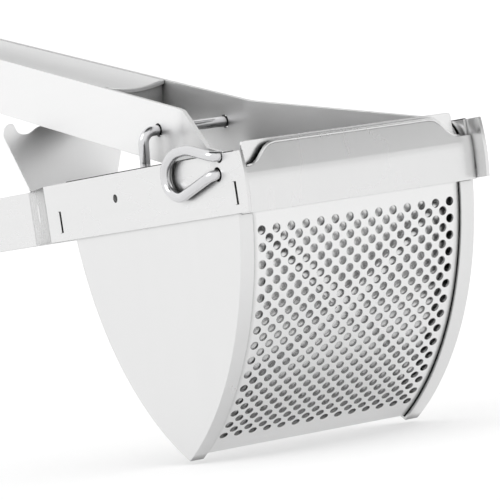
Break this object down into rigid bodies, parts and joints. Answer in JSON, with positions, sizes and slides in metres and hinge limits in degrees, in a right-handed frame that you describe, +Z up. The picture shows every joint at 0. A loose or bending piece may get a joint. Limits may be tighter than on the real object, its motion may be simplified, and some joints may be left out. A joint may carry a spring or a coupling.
{
  "type": "potato ricer",
  "caption": "Hand-held potato ricer of stainless sheet: perforated V-shaped hopper in a strip frame, with a hinged press lever on a pull-out wire pin.",
  "frame": {"origin": "middle of the bounding box's underside, below the hopper's side of the handles", "axes": "+X from the handles towards the hopper's perforated front, +Y to the side away from the pin's finger loop, +Z up"},
  "size_m": [0.277, 0.0896, 0.1504],
  "materials": {
    "sheet_frame": "satin stainless sheet",
    "sheet_basket": "fine brushed stainless sheet",
    "sheet_lever": "satin stainless sheet",
    "sheet_press": "fine brushed stainless sheet",
    "wire": "polished stainless wire"
  },
  "bodies": {
    "frame": {"side_strip_left": "sheet_frame", "side_strip_right": "sheet_frame", "frame_bow": "sheet_frame", "front_band": "sheet_frame", "rear_band": "sheet_frame", "mid_band": "sheet_frame", "rest_plate": "sheet_frame", "lower_grip": "sheet_frame", "basket_side_left": "sheet_basket", "basket_side_right": "sheet_basket", "front_screen": "sheet_basket", "rear_wall": "sheet_basket"},
    "lever": {"lever_arm_left": "sheet_lever", "lever_arm_right": "sheet_lever", "lever_bow": "sheet_lever", "lever_web": "sheet_lever", "press_plate": "sheet_press", "press_ear_left": "sheet_press", "press_ear_right": "sheet_press", "x_rib": "sheet_press", "wire_bail": "wire"},
    "pin": {"pivot_pin": "wire"}
  },
  "joints": [
    {"name": "lever_hinge", "type": "hinge", "parent": "frame", "child": "lever", "pos_m": [0.12445, 0, 0.08045], "axis": [0, 1, 0], "range_deg": [0, 62]},
    {"name": "pin_pull", "type": "slide", "parent": "frame", "child": "pin", "axis": [0, -1, 0], "range_m": [0, 0.09]}
  ]
}
